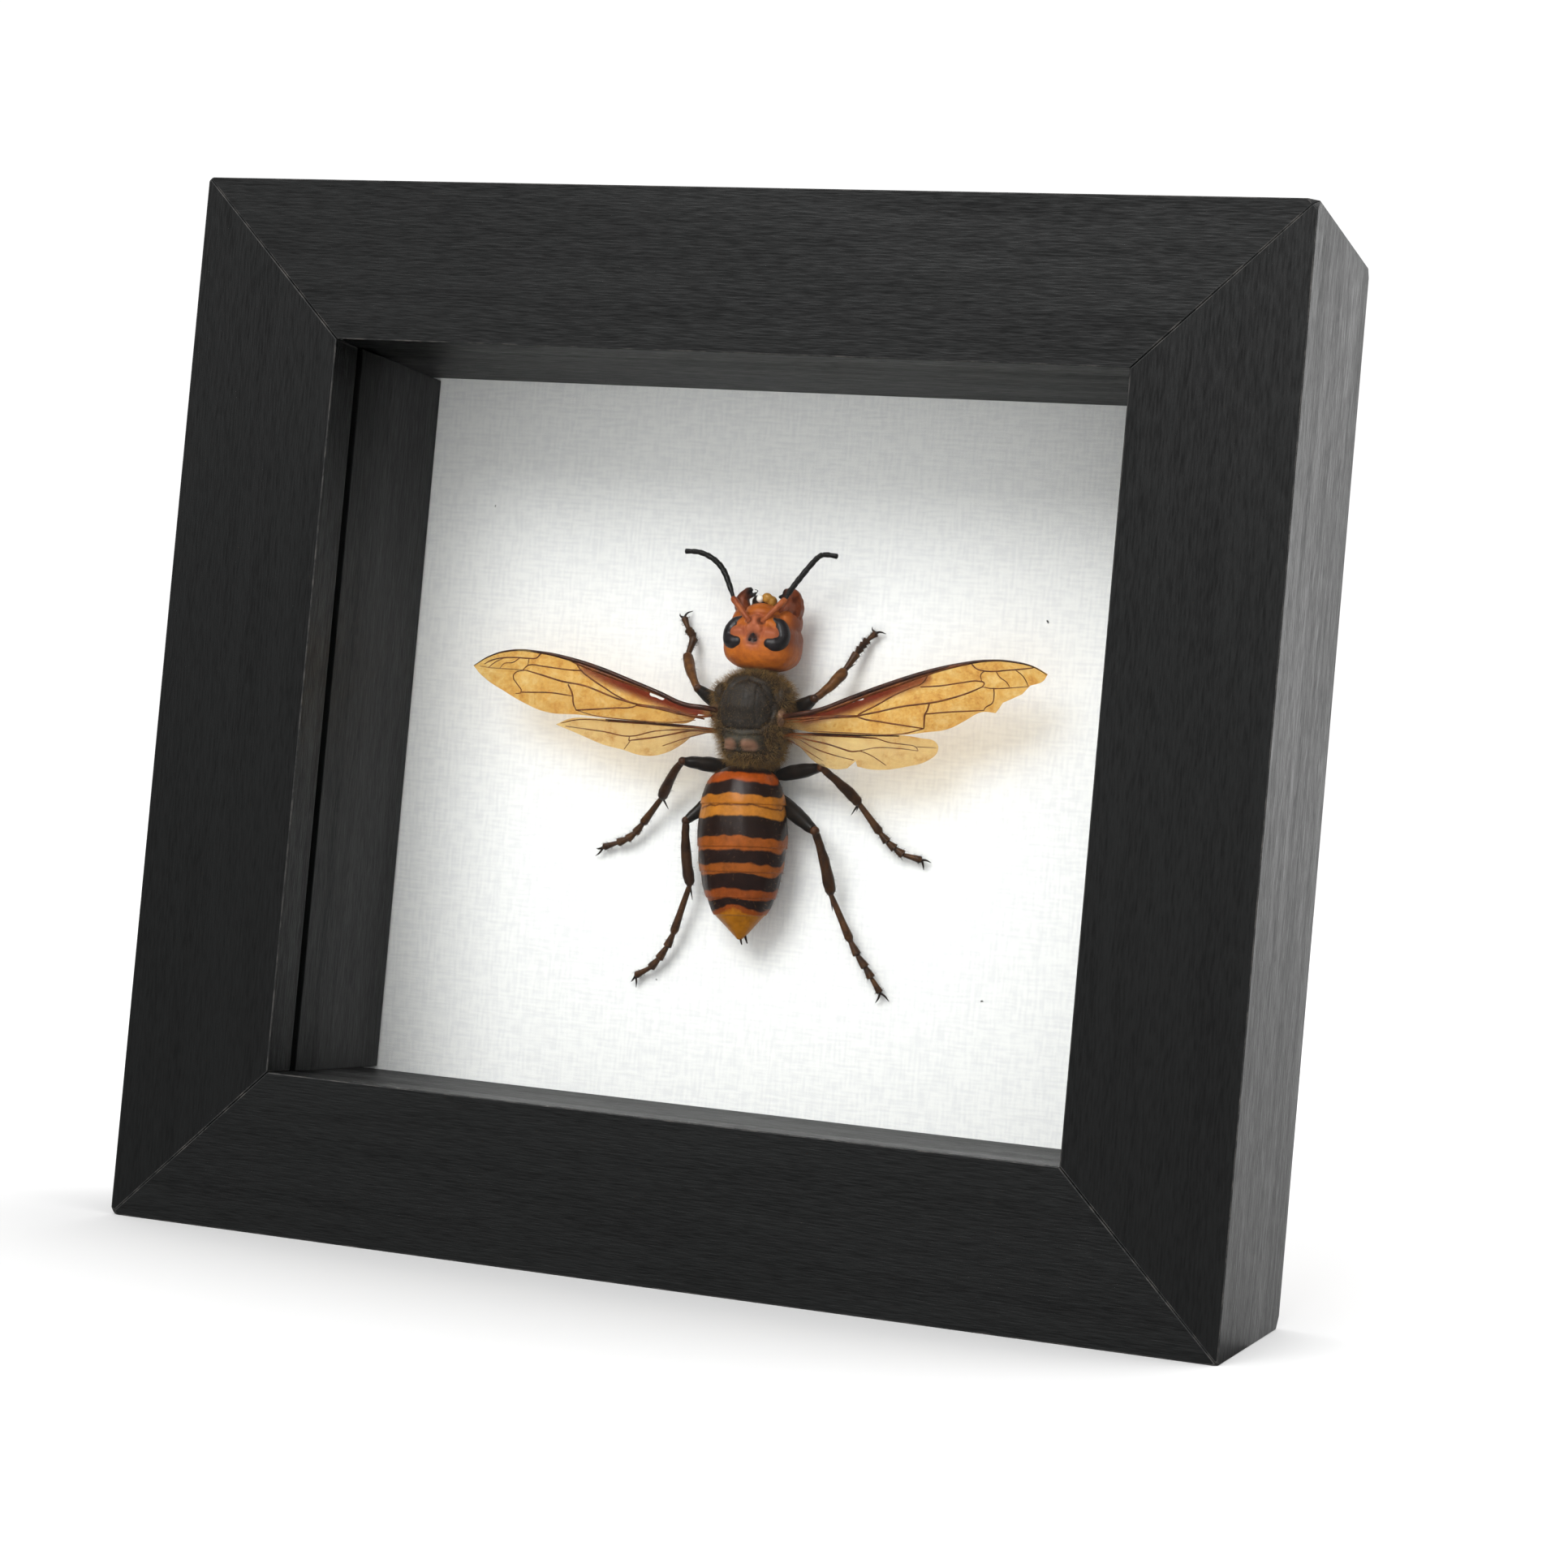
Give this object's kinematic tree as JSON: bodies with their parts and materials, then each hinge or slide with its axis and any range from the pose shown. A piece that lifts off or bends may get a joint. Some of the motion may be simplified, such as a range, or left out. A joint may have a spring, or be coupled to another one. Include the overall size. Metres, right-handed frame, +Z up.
{
  "type": "framed hornet specimen",
  "caption": "Dried giant hornet with spread wings and legs, mounted on white linen-textured card in a deep black wooden box frame with a glass front.",
  "frame": {"origin": "middle of the underside of the frame, on the surface that it stands on", "axes": "+X to the right along the width, +Y from the glass front to the back, +Z up"},
  "size_m": [0.127, 0.0356, 0.1185],
  "materials": {
    "black_wood": "solid wood stained black, fine grain showing, satin",
    "black_spacer": "thin wooden strip stained black, matt",
    "clear_glass": "clear picture glass, polished",
    "white_card": "white card embossed with a linen weave, matt",
    "hardboard": "brown pressed fibre board, matt",
    "steel": "plain steel sheet",
    "orange_cuticle": "orange insect cuticle, satin, with short hairs",
    "black_cuticle": "black insect cuticle, satin, with golden hairs",
    "banded_cuticle": "insect cuticle banded in orange and blackish brown, satin",
    "brown_cuticle": "dark brown insect cuticle, satin",
    "amber_wing": "translucent amber membrane with brown veins"
  },
  "bodies": {
    "root": {"frame_top_rail": "black_wood", "frame_bottom_rail": "black_wood", "frame_left_stile": "black_wood", "frame_right_stile": "black_wood", "glass_pane": "clear_glass", "spacer_top": "black_spacer", "spacer_bottom": "black_spacer", "spacer_left": "black_spacer", "spacer_right": "black_spacer", "backing_card": "white_card", "back_board": "hardboard", "framers_point_top": "steel", "framers_point_bottom": "steel", "framers_point_left": "steel", "framers_point_right": "steel", "hornet_head": "orange_cuticle", "hornet_thorax": "black_cuticle", "hornet_abdomen": "banded_cuticle", "antenna_left": "black_cuticle", "antenna_right": "black_cuticle", "forewing_left": "amber_wing", "forewing_right": "amber_wing", "hindwing_left": "amber_wing", "hindwing_right": "amber_wing", "fore_leg_left": "brown_cuticle", "fore_leg_right": "brown_cuticle", "middle_leg_left": "brown_cuticle", "middle_leg_right": "brown_cuticle", "hind_leg_left": "brown_cuticle", "hind_leg_right": "brown_cuticle"}
  },
  "joints": []
}
